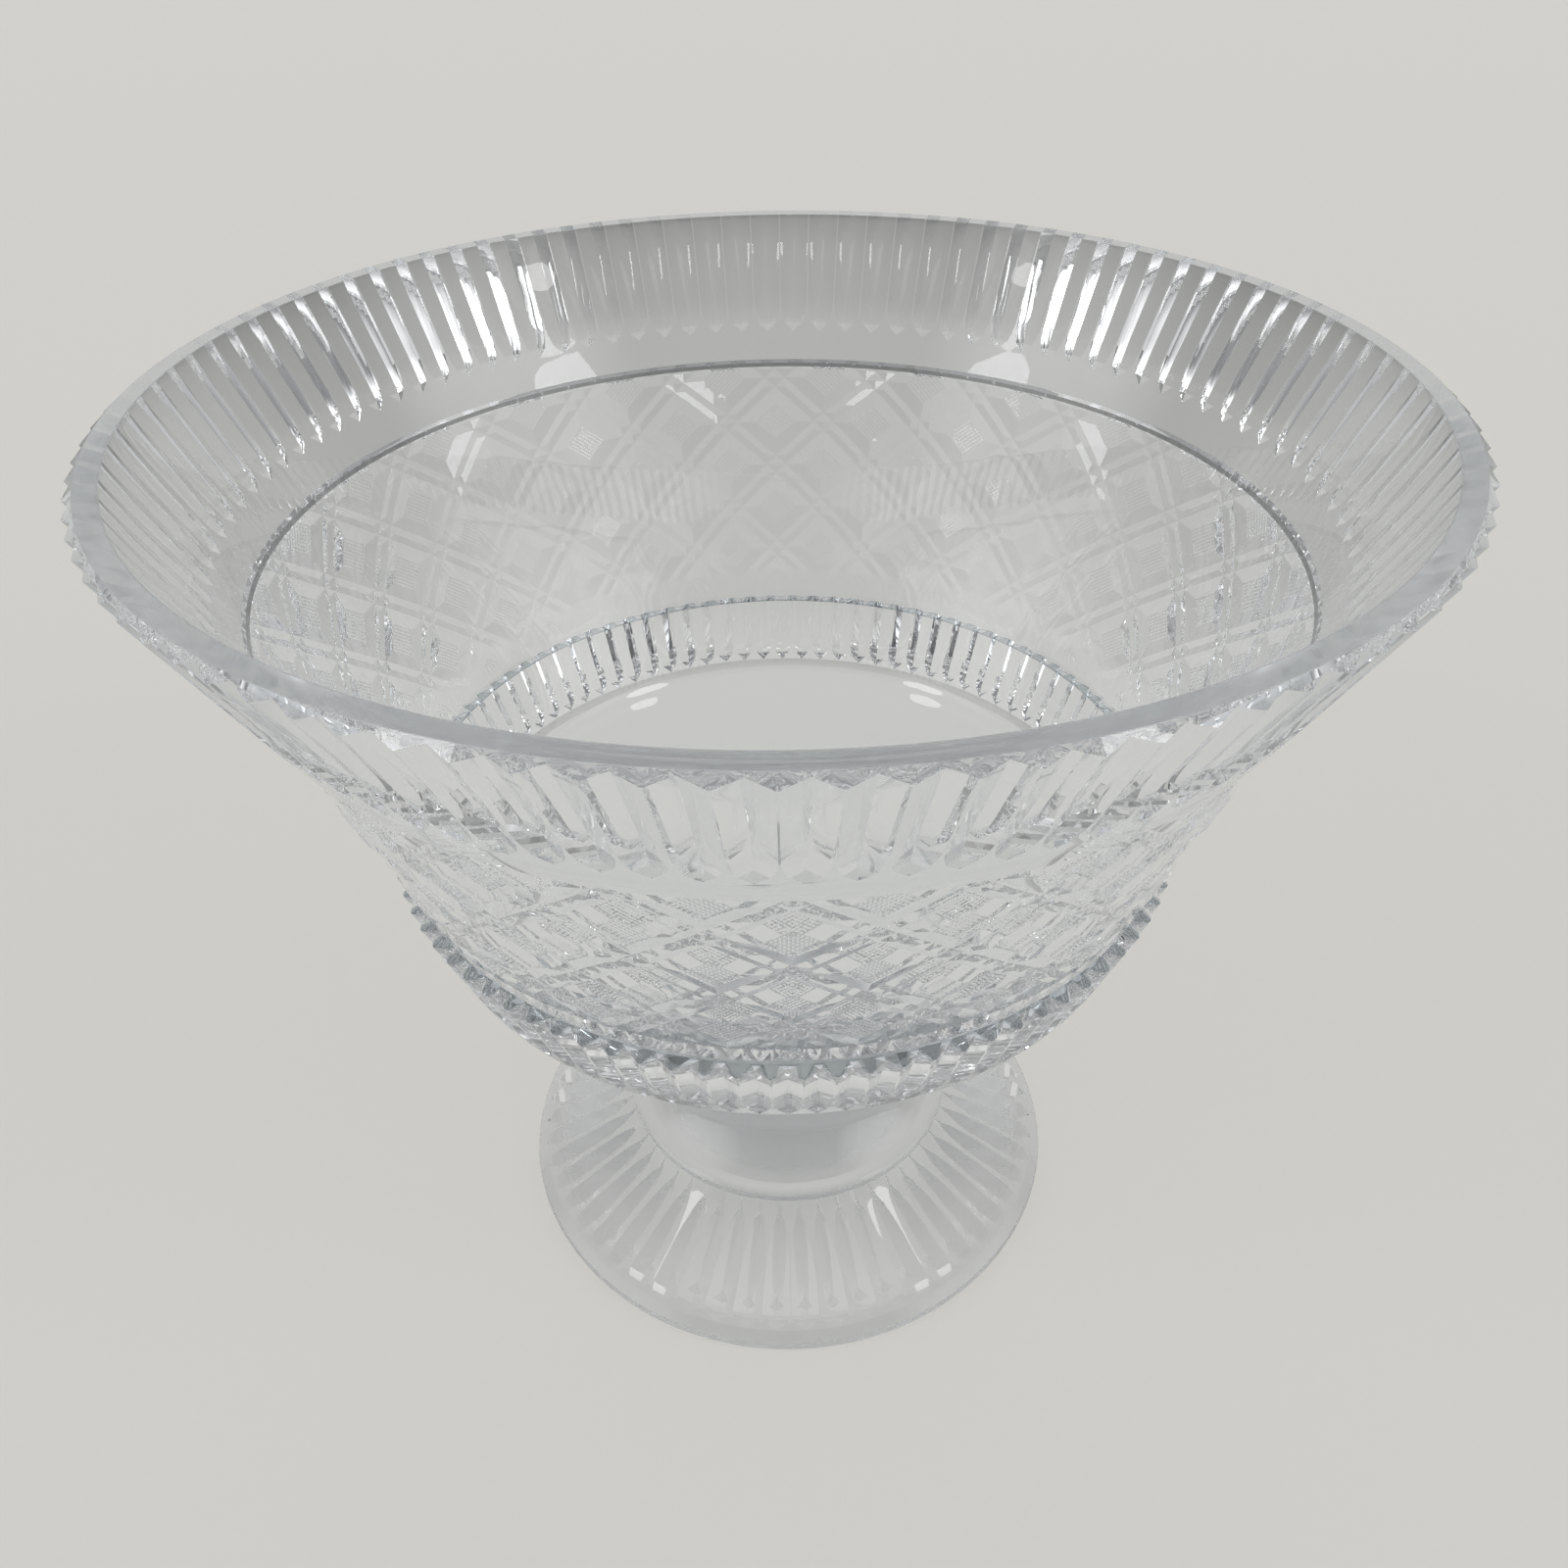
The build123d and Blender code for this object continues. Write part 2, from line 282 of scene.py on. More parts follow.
# %% The lattice's named sizes
LATTICE_SIZES = {
    "Repeats": "NodeSocketInt",
    "Low": "NodeSocketFloat",
    "High": "NodeSocketFloat",
    "Low Radius": "NodeSocketFloat",
    "Low Height": "NodeSocketFloat",
    "High Radius": "NodeSocketFloat",
    "High Height": "NodeSocketFloat",
    "Cut Offset": "NodeSocketFloat",
    "Cut Edge": "NodeSocketFloat",
    "Cut Depth": "NodeSocketFloat",
    "Run-out": "NodeSocketFloat",
    "Hatch Pitch": "NodeSocketFloat",
    "Hatch Depth": "NodeSocketFloat",
    "Start Angle": "NodeSocketFloat",
    "Material": "NodeSocketMaterial",
}
print("the lattice has", len(LATTICE_SIZES), "named sizes")


# %% The lattice tree
def build_lattice_tree():
    """Cuts the diagonal pairs and the fine hatching into a flat net, and wraps it round a cone."""
    tree = new_geometry_tree("lattice_band", LATTICE_SIZES)
    size = add_node(tree, "NodeGroupInput").node.outputs
    position = add_node(tree, "GeometryNodeInputPosition")
    place = add_node(tree, "ShaderNodeSeparateXYZ", (position,)).node.outputs
    edge, offset = size["Cut Edge"], size["Cut Offset"]
    cut_width = add_node(tree, "ShaderNodeMath", (edge, offset), operation="SUBTRACT")
    half_pitch = add_node(tree, "ShaderNodeMath", (size["Hatch Pitch"], 0.5), operation="MULTIPLY")

    # along each slant: the nearest cut's depth, whether the glass still stands, and the fine lines
    cuts, stands, hatches = [], [], []
    for direction in ("ADD", "SUBTRACT"):
        slanted = add_node(tree, "ShaderNodeMath", (place["X"], place["Y"]), operation=direction)
        from_pair = add_node(tree, "ShaderNodeMath", (slanted, 0.5), operation="PINGPONG")
        beside = add_node(tree, "ShaderNodeMath", (from_pair, offset), operation="SUBTRACT")
        from_cut = add_node(tree, "ShaderNodeMath", (beside,), operation="ABSOLUTE")
        cuts.append(add_node(tree, "ShaderNodeMapRange", (from_cut, cut_width, 0.0)))
        stands.append(add_node(tree, "ShaderNodeMath", (from_pair, edge), operation="GREATER_THAN"))
        hatches.append(add_node(tree, "ShaderNodeMath", (slanted, half_pitch), operation="PINGPONG"))

    # the cuts run out over the band's lower edge
    above_end = add_node(tree, "ShaderNodeMath", (place["Y"], size["Low"]), operation="SUBTRACT")
    run_out = add_node(tree, "ShaderNodeMapRange", (above_end, 0.0, size["Run-out"]))
    deepest = add_node(tree, "ShaderNodeMath", cuts, operation="MAXIMUM")
    cut_here = add_node(tree, "ShaderNodeMath", (run_out, size["Cut Depth"]), operation="MULTIPLY")
    bars = add_node(tree, "ShaderNodeMath", (deepest, cut_here), operation="MULTIPLY")
    lines = add_node(tree, "ShaderNodeMath", hatches, operation="ADD")
    line_share = add_node(tree, "ShaderNodeMath", (lines, size["Hatch Pitch"]), operation="DIVIDE")
    standing = add_node(tree, "ShaderNodeMath", stands, operation="MULTIPLY")
    hatch_here = add_node(tree, "ShaderNodeMath", (standing, size["Hatch Depth"]), operation="MULTIPLY")
    cut = add_node(tree, "ShaderNodeMath", (line_share, hatch_here, bars), operation="MULTIPLY_ADD")

    # the uncut cone's side in the XZ plane, and the cut taken off it
    low = add_node(tree, "ShaderNodeCombineXYZ", (size["Low Radius"], 0.0, size["Low Height"]))
    high = add_node(tree, "ShaderNodeCombineXYZ", (size["High Radius"], 0.0, size["High Height"]))
    slant = add_node(tree, "ShaderNodeVectorMath", (high, low), operation="SUBTRACT")
    sideways = add_node(tree, "ShaderNodeVectorMath", (slant, (0, 1, 0)), operation="CROSS_PRODUCT")
    inward = add_node(tree, "ShaderNodeVectorMath", (sideways,), operation="NORMALIZE")
    height_share = add_node(tree, "ShaderNodeMapRange", (place["Y"], size["Low"], size["High"]))
    on_cone = add_node(tree, "ShaderNodeVectorMath", (slant, height_share, low), operation="MULTIPLY_ADD")
    profile = add_node(tree, "ShaderNodeVectorMath", (inward, cut, on_cone), operation="MULTIPLY_ADD")

    turns = add_node(tree, "ShaderNodeMath", (place["X"], size["Repeats"]), operation="DIVIDE")
    angle = add_node(tree, "ShaderNodeMath", (turns, tau, size["Start Angle"]), operation="MULTIPLY_ADD")
    turned = {"Vector": profile, "Angle": angle}
    wrapped = add_node(tree, "ShaderNodeVectorRotate", turned, rotation_type="Z_AXIS")
    band = add_node(tree, "GeometryNodeSetPosition", {"Geometry": size["Geometry"], "Position": wrapped})
    real = add_node(tree, "GeometryNodeRealizeInstances", (band,))
    painted = add_node(tree, "GeometryNodeSetMaterial", {"Geometry": real, "Material": size["Material"]})
    add_node(tree, "NodeGroupOutput", (painted,))
    return tree


lattice_tree = build_lattice_tree()
print("lattice tree:", len(lattice_tree.nodes), "nodes")

# %% [markdown]
# ## The glass
# Lead crystal has an IOR of about 1.54, higher than window glass, which gives the cuts their
# sparkle. It is almost colourless, with a trace of blue that builds up where light crosses many
# faces. Acid polishing leaves the cuts glossy with a very faint waviness. The surfaces that stand on
# something are ground flat on a wheel and stay satin.


# %% Colours and the crystal material
CLEAR_CRYSTAL = "#FAFCFE"
PAINTED_SHADE_GREY = "#AEB7BC"      # painted shade: the tint that darkens the rings round the bowl


def linear(hex_colour):
    """sRGB hex text to linear red, green, blue, alpha."""
    channels = [int(hex_colour[i : i + 2], 16) / 255 for i in (1, 3, 5)]
    return tuple(c / 12.92 if c <= 0.04045 else ((c + 0.055) / 1.055) ** 2.4 for c in channels) + (1.0,)


def lead_crystal(name, satin_zones):
    """Clear polished lead crystal; a satin zone is (lowest height, highest height, radius, roughness)."""
    material = bpy.data.materials.new(name)
    material.use_nodes = True
    tree = material.node_tree
    glass = tree.nodes["Principled BSDF"]
    glass.inputs["Base Color"].default_value = linear(CLEAR_CRYSTAL)
    glass.inputs["Transmission Weight"].default_value = 1.0
    glass.inputs["IOR"].default_value = 1.54
    spot = add_node(tree, "ShaderNodeTexCoord", output="Object")
    height = add_node(tree, "ShaderNodeSeparateXYZ", (spot,), output="Z")
    # handling marks: patches a few centimetres wide, from clear to barely hazed
    haze = add_node(tree, "ShaderNodeTexNoise", {"Vector": spot, "Scale": 40.0, "Detail": 3.0})
    polish = add_node(tree, "ShaderNodeMapRange", (haze, 0.35, 0.75, 0.0, 0.03))
    roughness = polish
    flattened = add_node(tree, "ShaderNodeVectorMath", (spot, (1, 1, 0)), operation="MULTIPLY")
    from_axis = add_node(tree, "ShaderNodeVectorMath", (flattened,), output="Value", operation="LENGTH")
    for lowest, highest, widest, satin in satin_zones:
        above = add_node(tree, "ShaderNodeMath", (height, lowest), operation="GREATER_THAN")
        below = add_node(tree, "ShaderNodeMath", (height, highest), operation="LESS_THAN")
        between = add_node(tree, "ShaderNodeMath", (above, below), operation="MULTIPLY")
        within = add_node(tree, "ShaderNodeMath", (from_axis, widest), operation="LESS_THAN")
        in_zone = add_node(tree, "ShaderNodeMath", (between, within), operation="MULTIPLY")
        roughness = add_node(tree, "ShaderNodeMath", (in_zone, satin, roughness), operation="MULTIPLY_ADD")
    tree.links.new(roughness, glass.inputs["Roughness"])
    # the waviness that blowing and acid polishing leave, about 12 mm from crest to crest
    wave = add_node(tree, "ShaderNodeTexNoise", {"Vector": spot, "Scale": 80.0, "Detail": 1.0})
    bump = add_node(tree, "ShaderNodeBump", {"Height": wave, "Strength": 0.12, "Distance": 0.0004})
    tree.links.new(bump, glass.inputs["Normal"])
    return material


# %% The two crystals
# the peg and its seat are ground; the flat rim is ground too, then polished only lightly
bowl_crystal = lead_crystal(
    "lead_crystal_bowl", [(0.0, SEAT_Z + 0.5 * MM, 1.0, 0.35), (RIM_Z - 0.1 * MM, 1.0, 1.0, 0.18)]
)
# the ring that stands on the table is ground, and so is the hollow inside it
stand_crystal = lead_crystal(
    "lead_crystal_stand", [(-1.0 * MM, 0.3 * MM, 1.0, 0.35), (0.3 * MM, 9.1 * MM, 78.0 * MM, 0.4)]
)
for crystal in (bowl_crystal, stand_crystal):
    print(crystal.name, "-", len(crystal.node_tree.nodes), "nodes")

# %% [markdown]
# Three rings of the bowl get painted shade, a darker tint in the glass's own colour that stands in
# for the dark lines which refraction draws there: the ledge under the ring groove, and the step under
# the collar. The flat rim gets a fainter share of the same tint. All three read as darker lines round
# the bowl. The material finds them by height and by distance from the axis.

# %% The rings of painted shade
PAINTED_SHADE_RINGS = [                # height, reach above and below it, smallest radius, how much painted shade
    (LEDGE_Z, 0.2 * MM, GROOVE_RADIUS - 0.5 * MM, 1.0),
    (COLLAR_BOTTOM_Z + 0.85 * MM, 0.7 * MM, COLLAR_BOTTOM_RADIUS - 2.5 * MM, 0.5),
    (RIM_Z, 0.05 * MM, RIM_INNER - 1.0 * MM, 0.35),
]
bowl_nodes = bowl_crystal.node_tree
on_bowl = add_node(bowl_nodes, "ShaderNodeTexCoord", output="Object")
flat_place = add_node(bowl_nodes, "ShaderNodeVectorMath", (on_bowl, (1, 1, 0)), operation="MULTIPLY")
out_from_axis = add_node(
    bowl_nodes, "ShaderNodeVectorMath", (flat_place,), output="Value", operation="LENGTH"
)
bowl_height = add_node(bowl_nodes, "ShaderNodeSeparateXYZ", (on_bowl,), output="Z")
painted_shade = 0.0
for height, reach, radius, share in PAINTED_SHADE_RINGS:
    at_height = add_node(bowl_nodes, "ShaderNodeMath", (bowl_height, height, reach), operation="COMPARE")
    outside = add_node(bowl_nodes, "ShaderNodeMath", (out_from_axis, radius), operation="GREATER_THAN")
    on_ring = add_node(bowl_nodes, "ShaderNodeMath", (at_height, outside), operation="MULTIPLY")
    painted_shade = add_node(bowl_nodes, "ShaderNodeMath", (on_ring, share, painted_shade), operation="MULTIPLY_ADD")
# painted shade: the rings pull the glass's base colour towards the darker tint
painted_shade_tint = add_node(
    bowl_nodes,
    "ShaderNodeMix",
    {"Factor": painted_shade, "A": linear(CLEAR_CRYSTAL), "B": linear(PAINTED_SHADE_GREY)},
    output="Result",
    data_type="RGBA",
)
bowl_nodes.links.new(painted_shade_tint, bowl_nodes.nodes["Principled BSDF"].inputs["Base Color"])
print("grey rings:", len(PAINTED_SHADE_RINGS))

# %% [markdown]
# ## Turning and stitching
# The plain parts of the glass are turned: rings of points round the axis, joined by strips. Cut bands
# have as many points round as their cuts need, so a strip has to join rings of different counts.
# Walking round both rings together and always stepping along the one that is behind does
# that with no gap, and the glass stays one closed skin, which refraction needs.


# %% Rings and strips
SAME_ANGLE = radians(0.02)    # points of two rings closer than this are joined straight across
WELD = 0.01 * MM              # points of a band closer than this are its seam
SPECK = 0.002 * MM            # edges shorter than this are no real edges
CREASE = radians(9)           # a cut's edges are sharper than this, a turned surface's facets aren't


def angle_of(vertex):
    return atan2(vertex.co.y, vertex.co.x) % tau


def turned_ring(skin, radius, height, count=ROUND_COLUMNS):
    """A ring of new points round the axis."""
    angles = [tau * i / count for i in range(count)]
    return [skin.verts.new((radius * cos(angle), radius * sin(angle), height)) for angle in angles]


def stitch(skin, ring_a, ring_b):
    """Joins two rings with one strip, whatever their counts."""
    ring_a, ring_b = sorted(ring_a, key=angle_of), sorted(ring_b, key=angle_of)
    angles_a = [angle_of(v) for v in ring_a] + [angle_of(ring_a[0]) + tau]
    angles_b = [angle_of(v) for v in ring_b] + [angle_of(ring_b[0]) + tau]
    a = b = 0
    while a < len(ring_a) or b < len(ring_b):
        here_a, here_b = ring_a[a % len(ring_a)], ring_b[b % len(ring_b)]
        next_a, next_b = ring_a[(a + 1) % len(ring_a)], ring_b[(b + 1) % len(ring_b)]
        step_a = angles_a[a + 1] if a < len(ring_a) else 2 * tau
        step_b = angles_b[b + 1] if b < len(ring_b) else 2 * tau
        if abs(step_a - step_b) < SAME_ANGLE:
            skin.faces.new((here_a, next_a, next_b, here_b))
            a, b = a + 1, b + 1
        elif step_a < step_b:
            skin.faces.new((here_a, next_a, here_b))
            a += 1
        else:
            skin.faces.new((here_a, next_b, here_b))
            b += 1


# %% Profiles and curves
def turn_profile(skin, ring, profile, count=ROUND_COLUMNS):
    """Carries the skin on from a ring through each (radius, height); a radius of 0 closes it."""
    for radius, height in profile:
        if radius == 0:
            pole = skin.verts.new((0, 0, height))
            for i, vertex in enumerate(ring):
                skin.faces.new((vertex, ring[(i + 1) % len(ring)], pole))
            return [pole]
        following = turned_ring(skin, radius, height, count)
        stitch(skin, ring, following)
        ring = following
    return ring


def curved(points, steps):
    """Smooth (radius, height) points through the given ones (Catmull-Rom), without the first."""
    padded = [points[0], *points, points[-1]]
    line = []
    for four_points in zip(padded, padded[1:], padded[2:], padded[3:]):
        for k in range(1, steps + 1):
            t = k / steps
            point = []
            for a, b, c, d in zip(*four_points):
                squared = (2 * a - 5 * b + 4 * c - d) * t**2
                cubed = (3 * b - a - 3 * c + d) * t**3
                point.append(0.5 * (2 * b + (c - a) * t + squared + cubed))
            line.append(tuple(point))
    return line


# %% Cut bands and the finished skin
def add_band(skin, band_mesh):
    """Adds a cut band to the skin, closes its seam, and returns its two edge rings, top first."""
    before = set(skin.verts)
    skin.from_mesh(band_mesh)
    added = [v for v in skin.verts if v not in before]
    bmesh.ops.remove_doubles(skin, verts=added, dist=WELD)
    added = [v for v in skin.verts if v not in before]
    edge_points = [v for v in added if any(len(e.link_faces) == 1 for e in v.link_edges)]
    middle = (min(v.co.z for v in edge_points) + max(v.co.z for v in edge_points)) / 2
    return [v for v in edge_points if v.co.z > middle], [v for v in edge_points if v.co.z <= middle]


def finish_glass(skin, name, material):
    """Turns the closed skin into an object with crisp cut edges and outward faces."""
    bmesh.ops.remove_doubles(skin, verts=skin.verts, dist=SPECK)
    bmesh.ops.dissolve_degenerate(skin, edges=skin.edges, dist=SPECK)
    bmesh.ops.recalc_face_normals(skin, faces=skin.faces)
    open_edges = sum(not e.is_manifold for e in skin.edges)
    mesh = bpy.data.meshes.new(name)
    skin.to_mesh(mesh)
    skin.free()
    mesh.materials.clear()
    mesh.materials.append(material)
    mesh.shade_smooth()
    mesh.set_sharp_from_angle(angle=CREASE)
    piece = bpy.data.objects.new(name, mesh)
    bpy.context.scene.collection.objects.link(piece)
    triangles = sum(len(p.vertices) - 2 for p in mesh.polygons)
    print(name, "-", triangles, "triangles,", open_edges, "open edges")
    return piece


# %% [markdown]
# ## The bowl
# From the polished rim down the outside: a bevel, a hundred long flutes that run out on a plain
# collar, the lattice, a ring groove, a ledge whose edge the short flutes bite into, and the
# rounded base with its ground peg. The inside is one smooth wall.

# %% The rim flutes
NO_RUN_OUT = {"Cut Begins": -2.0, "Full From": -1.0, "Full To": 2.0, "Cut Ends": 3.0}
empty_mesh = bpy.data.meshes.new("no_geometry")
rim_flutes = evaluate_tree(
    flute_tree,
    empty_mesh,
    NO_RUN_OUT
    | {
        "Flutes": 100,
        "Rows": 15,
        "Top Radius": BEVEL_RADIUS,
        "Top Height": BEVEL_Z,
        "Bottom Radius": COLLAR_TOP_RADIUS,
        "Bottom Height": COLLAR_TOP_Z,
        "Depth": 2.1 * MM,
        "Ridge Share": 0.04,
        "Lead": 0.007,
        "Full To": 0.72,
        "Cut Ends": 1.0,
        "Start Angle": radians(-90.35),
        "Material": bowl_crystal,
    },
)

# %% The lattice band
lattice = evaluate_tree(
    lattice_tree,
    lattice_blank(),
    {
        "Repeats": LATTICE_REPEATS,
        "Low": LATTICE_LOW,
        "High": LATTICE_HIGH,
        "Low Radius": LATTICE_END_RADIUS,
        "Low Height": LATTICE_END_Z,
        "High Radius": LATTICE_TOP_RADIUS,
        "High Height": LATTICE_TOP_Z,
        "Cut Offset": CUT_OFFSET,
        "Cut Edge": CUT_EDGE,
        "Cut Depth": CUT_DEPTH,
        "Run-out": 0.3,
        "Hatch Pitch": HATCH_PITCH,
        "Hatch Depth": HATCH_DEPTH,
        "Start Angle": radians(-89.4),
        "Material": bowl_crystal,
    },
)

# %% The short flutes
short_flutes = evaluate_tree(
    flute_tree,
    empty_mesh,
    NO_RUN_OUT
    | {
        "Flutes": 92,
        "Rows": 9,
        "Top Radius": LEDGE_RADIUS,
        "Top Height": LEDGE_Z,
        "Bottom Radius": BAND_BOTTOM_RADIUS,
        "Bottom Height": BAND_BOTTOM_Z,
        "Depth": 2.0 * MM,
        "Ridge Share": 0.08,
        "Full To": 0.7,
        "Cut Ends": 0.98,
        "Start Angle": radians(-92.0),
        "Material": bowl_crystal,
    },
)

# %% The bowl's skin, outside
bowl_skin = bmesh.new()
rim_top, rim_bottom = add_band(bowl_skin, rim_flutes)
lattice_top, lattice_bottom = add_band(bowl_skin, lattice)
short_top, short_bottom = add_band(bowl_skin, short_flutes)

# the flat rim's outer edge has one point over each point of the flutes, to keep the bevel clean
rim_edge = []
for v in rim_top:
    out = v.co.xy.normalized() * RIM_OUTER
    rim_edge.append(bowl_skin.verts.new((out.x, out.y, RIM_Z)))
rim_inside = turned_ring(bowl_skin, RIM_INNER, RIM_Z)
stitch(bowl_skin, rim_edge, rim_top)
stitch(bowl_skin, rim_inside, rim_edge)
collar_end = turn_profile(
    bowl_skin,
    rim_bottom,
    [
        (COLLAR_TOP_RADIUS - 0.2 * MM, COLLAR_TOP_Z - 0.4 * MM),
        (COLLAR_BOTTOM_RADIUS + 0.9 * MM, COLLAR_BOTTOM_Z + 1.5 * MM),
        (COLLAR_BOTTOM_RADIUS - 1.0 * MM, COLLAR_BOTTOM_Z + 1.1 * MM),
        (LATTICE_TOP_RADIUS - 0.5 * MM, COLLAR_BOTTOM_Z + 0.2 * MM),
    ],
)
stitch(bowl_skin, collar_end, lattice_top)
groove = [(GROOVE_TOP_RADIUS, GROOVE_TOP_Z), (GROOVE_RADIUS, LEDGE_Z)]
ledge_root = turn_profile(bowl_skin, lattice_bottom, groove)
stitch(bowl_skin, ledge_root, short_top)
underside = curved(
    [
        (98.6 * MM, BAND_BOTTOM_Z - 1.4 * MM),
        (84.0 * MM, 117.6 * MM),
        (62.0 * MM, 107.0 * MM),
        (SEAT_RADIUS, SEAT_Z),
    ],
    6,
)
turn_profile(
    bowl_skin,
    short_bottom,
    [
        (98.6 * MM, BAND_BOTTOM_Z - 1.4 * MM),
        *underside,
        (PEG_RADIUS + 1 * MM, SEAT_Z),
        (PEG_RADIUS, SEAT_Z - 1 * MM),
        (PEG_RADIUS, PEG_Z + 1.5 * MM),
        (PEG_RADIUS - 1.5 * MM, PEG_Z),
        (0, PEG_Z),
    ],
)
print("bowl outside:", len(bowl_skin.faces), "faces")

# %% The bowl's skin, inside
inside = curved(
    [
        (RIM_INNER, RIM_Z),
        (145.6 * MM, RIM_Z - 5.0 * MM),
        (127.0 * MM, COLLAR_BOTTOM_Z),
        (97.0 * MM, LEDGE_Z - 6.0 * MM),
        (84.0 * MM, FLOOR_Z + 8.0 * MM),
        (FLOOR_RADIUS, FLOOR_Z),
        (FLOOR_RADIUS / 2, FLOOR_Z - 1.5 * MM),
        (4 * MM, FLOOR_Z - 2.0 * MM),
    ],
    9,
)
turn_profile(bowl_skin, rim_inside, [*inside, (0, FLOOR_Z - 2.0 * MM)])
crystal_bowl = finish_glass(bowl_skin, "crystal_bowl", bowl_crystal)
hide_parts("bowl", "bowl_peg")
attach(crystal_bowl, "bowl")

# %% [markdown]
# ## The stand
# A solid waisted stem with the socket for the peg, a sharp ring called a merese, and a conical foot
# whose flutes fan out to the edge. The three are fused hot, so they are one skin here.

# %% Sizes of the stand
STEM_TOP_Z = SEAT_Z - 0.3 * MM
STEM_TOP_RADIUS = 44.0 * MM
SOCKET_RADIUS, SOCKET_Z = 20.3 * MM, 75.0 * MM
NECK_RADIUS, NECK_Z = 35.5 * MM, 62.0 * MM
MERESE_RADIUS, MERESE_Z = 53.4 * MM, 28.7 * MM
FOOT_CUT_TOP_RADIUS, FOOT_CUT_TOP_Z = 55.5 * MM, 23.6 * MM
FOOT_CUT_END_RADIUS, FOOT_CUT_END_Z = 84.6 * MM, 7.4 * MM
FOOT_RADIUS = 87.7 * MM
BEAD_RADIUS = 2.2 * MM        # of the merese's rounded edge
DOME_Z = 9.0 * MM             # how far the foot is hollowed out
print(f"stand: {STEM_TOP_Z / MM:.1f} mm high, {2 * FOOT_RADIUS / MM:.1f} mm across")

# %% The foot's flutes
foot_flutes = evaluate_tree(
    flute_tree,
    empty_mesh,
    NO_RUN_OUT
    | {
        "Flutes": 56,
        "Rows": 17,
        "Top Radius": FOOT_CUT_TOP_RADIUS,
        "Top Height": FOOT_CUT_TOP_Z,
        "Bottom Radius": FOOT_CUT_END_RADIUS,
        "Bottom Height": FOOT_CUT_END_Z,
        "Belly": -0.6 * MM,
        "Depth": 3.0 * MM,
        "Ridge Share": 0.04,
        "Cut Begins": -0.02,
        "Full From": 0.55,
        "Full To": 0.84,
        "Cut Ends": 0.99,
        "Start Angle": radians(-90.0),
        "Material": stand_crystal,
    },
)

# %% The stand's skin
stand_skin = bmesh.new()
foot_top, foot_end = add_band(stand_skin, foot_flutes)
merese_bead = [
    (MERESE_RADIUS - BEAD_RADIUS * (1 - sin(bead_angle)), MERESE_Z - BEAD_RADIUS * cos(bead_angle))
    for bead_angle in [radians(10 + 8 * step) for step in range(22)]
]
stem_outside = curved(
    [
        (48.2 * MM, 30.3 * MM),
        (45.0 * MM, 33.6 * MM),
        (39.6 * MM, 42.0 * MM),
        (NECK_RADIUS + 0.8 * MM, 51.0 * MM),
        (NECK_RADIUS, NECK_Z),
        (NECK_RADIUS + 1.4 * MM, 78.0 * MM),
        (STEM_TOP_RADIUS - 1.0 * MM, STEM_TOP_Z - 2.0 * MM),
    ],
    6,
)
turn_profile(
    stand_skin,
    foot_top,
    [
        *merese_bead,
        (48.2 * MM, 30.3 * MM),
        *stem_outside,
        (STEM_TOP_RADIUS - 1.4 * MM, STEM_TOP_Z),
        (SOCKET_RADIUS + 1.0 * MM, STEM_TOP_Z),
        (SOCKET_RADIUS, STEM_TOP_Z - 1.0 * MM),
        (SOCKET_RADIUS, SOCKET_Z + 1.0 * MM),
        (SOCKET_RADIUS - 1.0 * MM, SOCKET_Z),
        (0, SOCKET_Z),
    ],
)
foot_underside = curved(
    [(78.0 * MM, 0.0), (64.0 * MM, 5.0 * MM), (40.0 * MM, 8.0 * MM), (4.0 * MM, DOME_Z)],
    8,
)
turn_profile(
    stand_skin,
    foot_end,
    [
        (85.4 * MM, 6.6 * MM),
        (87.2 * MM, 4.8 * MM),
        (FOOT_RADIUS, 3.4 * MM),
        (87.4 * MM, 2.0 * MM),
        (85.5 * MM, 0.0),
        (78.0 * MM, 0.0),
        *foot_underside,
        (0, DOME_Z),
    ],
)
crystal_stand = finish_glass(stand_skin, "crystal_stand", stand_crystal)
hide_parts("stem", "merese", "foot")
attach(crystal_stand, "stand")

# %% [markdown]
# ## The studio
# Glass shows only what is around it. A pale table fills most of the picture, and the room is pale in
# front of the bowl and darker behind the camera.

# %% Table
TABLE_HALF = 6.0
TABLE_Z = -0.3 * MM           # just under the ground ring, so that the two faces don't fight
floor_mesh = bpy.data.meshes.new("table")
table_corners = [(x * TABLE_HALF, y * TABLE_HALF, TABLE_Z) for x, y in ((-1, -1), (1, -1), (1, 1), (-1, 1))]
floor_mesh.from_pydata(table_corners, [], [(0, 1, 2, 3)])
table = bpy.data.objects.new("table", floor_mesh)
bpy.context.scene.collection.objects.link(table)
print("table:", 2 * TABLE_HALF, "m square")

# %% [markdown]
# The table is white laminate, pressed with a matt sheet, so it has no gloss to speak of. Glass stands
# in its own shadow, and a table lit by lamps alone would look darker through it than beside it. So
# the table gives most of its light itself. What the glass sees of it dims past the table's sides, and
# more slowly behind it: the cuts that turn the view that way go dark, which draws their edges.

# %% The table's laminate
GLOW_FULL_TO, GLOW_LOW_FROM = 0.3, 0.9    # metres from the bowl
FAR_GLOW = 0.12                           # what is left of the glow past that
BEHIND_RATE, BEHIND_START = 0.22, 0.3     # a metre behind the bowl counts for 0.52 m, two for 0.74 m
laminate = bpy.data.materials.new("white_laminate")
laminate.use_nodes = True
laminate_nodes = laminate.node_tree
table_surface = laminate_nodes.nodes["Principled BSDF"]
table_surface.inputs["Base Color"].default_value = linear("#8B8A87")
table_surface.inputs["Roughness"].default_value = 0.6
table_surface.inputs["Emission Color"].default_value = linear("#BAB9B5")
on_table = add_node(laminate_nodes, "ShaderNodeTexCoord", output="Object")
table_axes = add_node(laminate_nodes, "ShaderNodeSeparateXYZ", (on_table,)).node.outputs
behind = (table_axes["Y"], BEHIND_RATE, BEHIND_START)
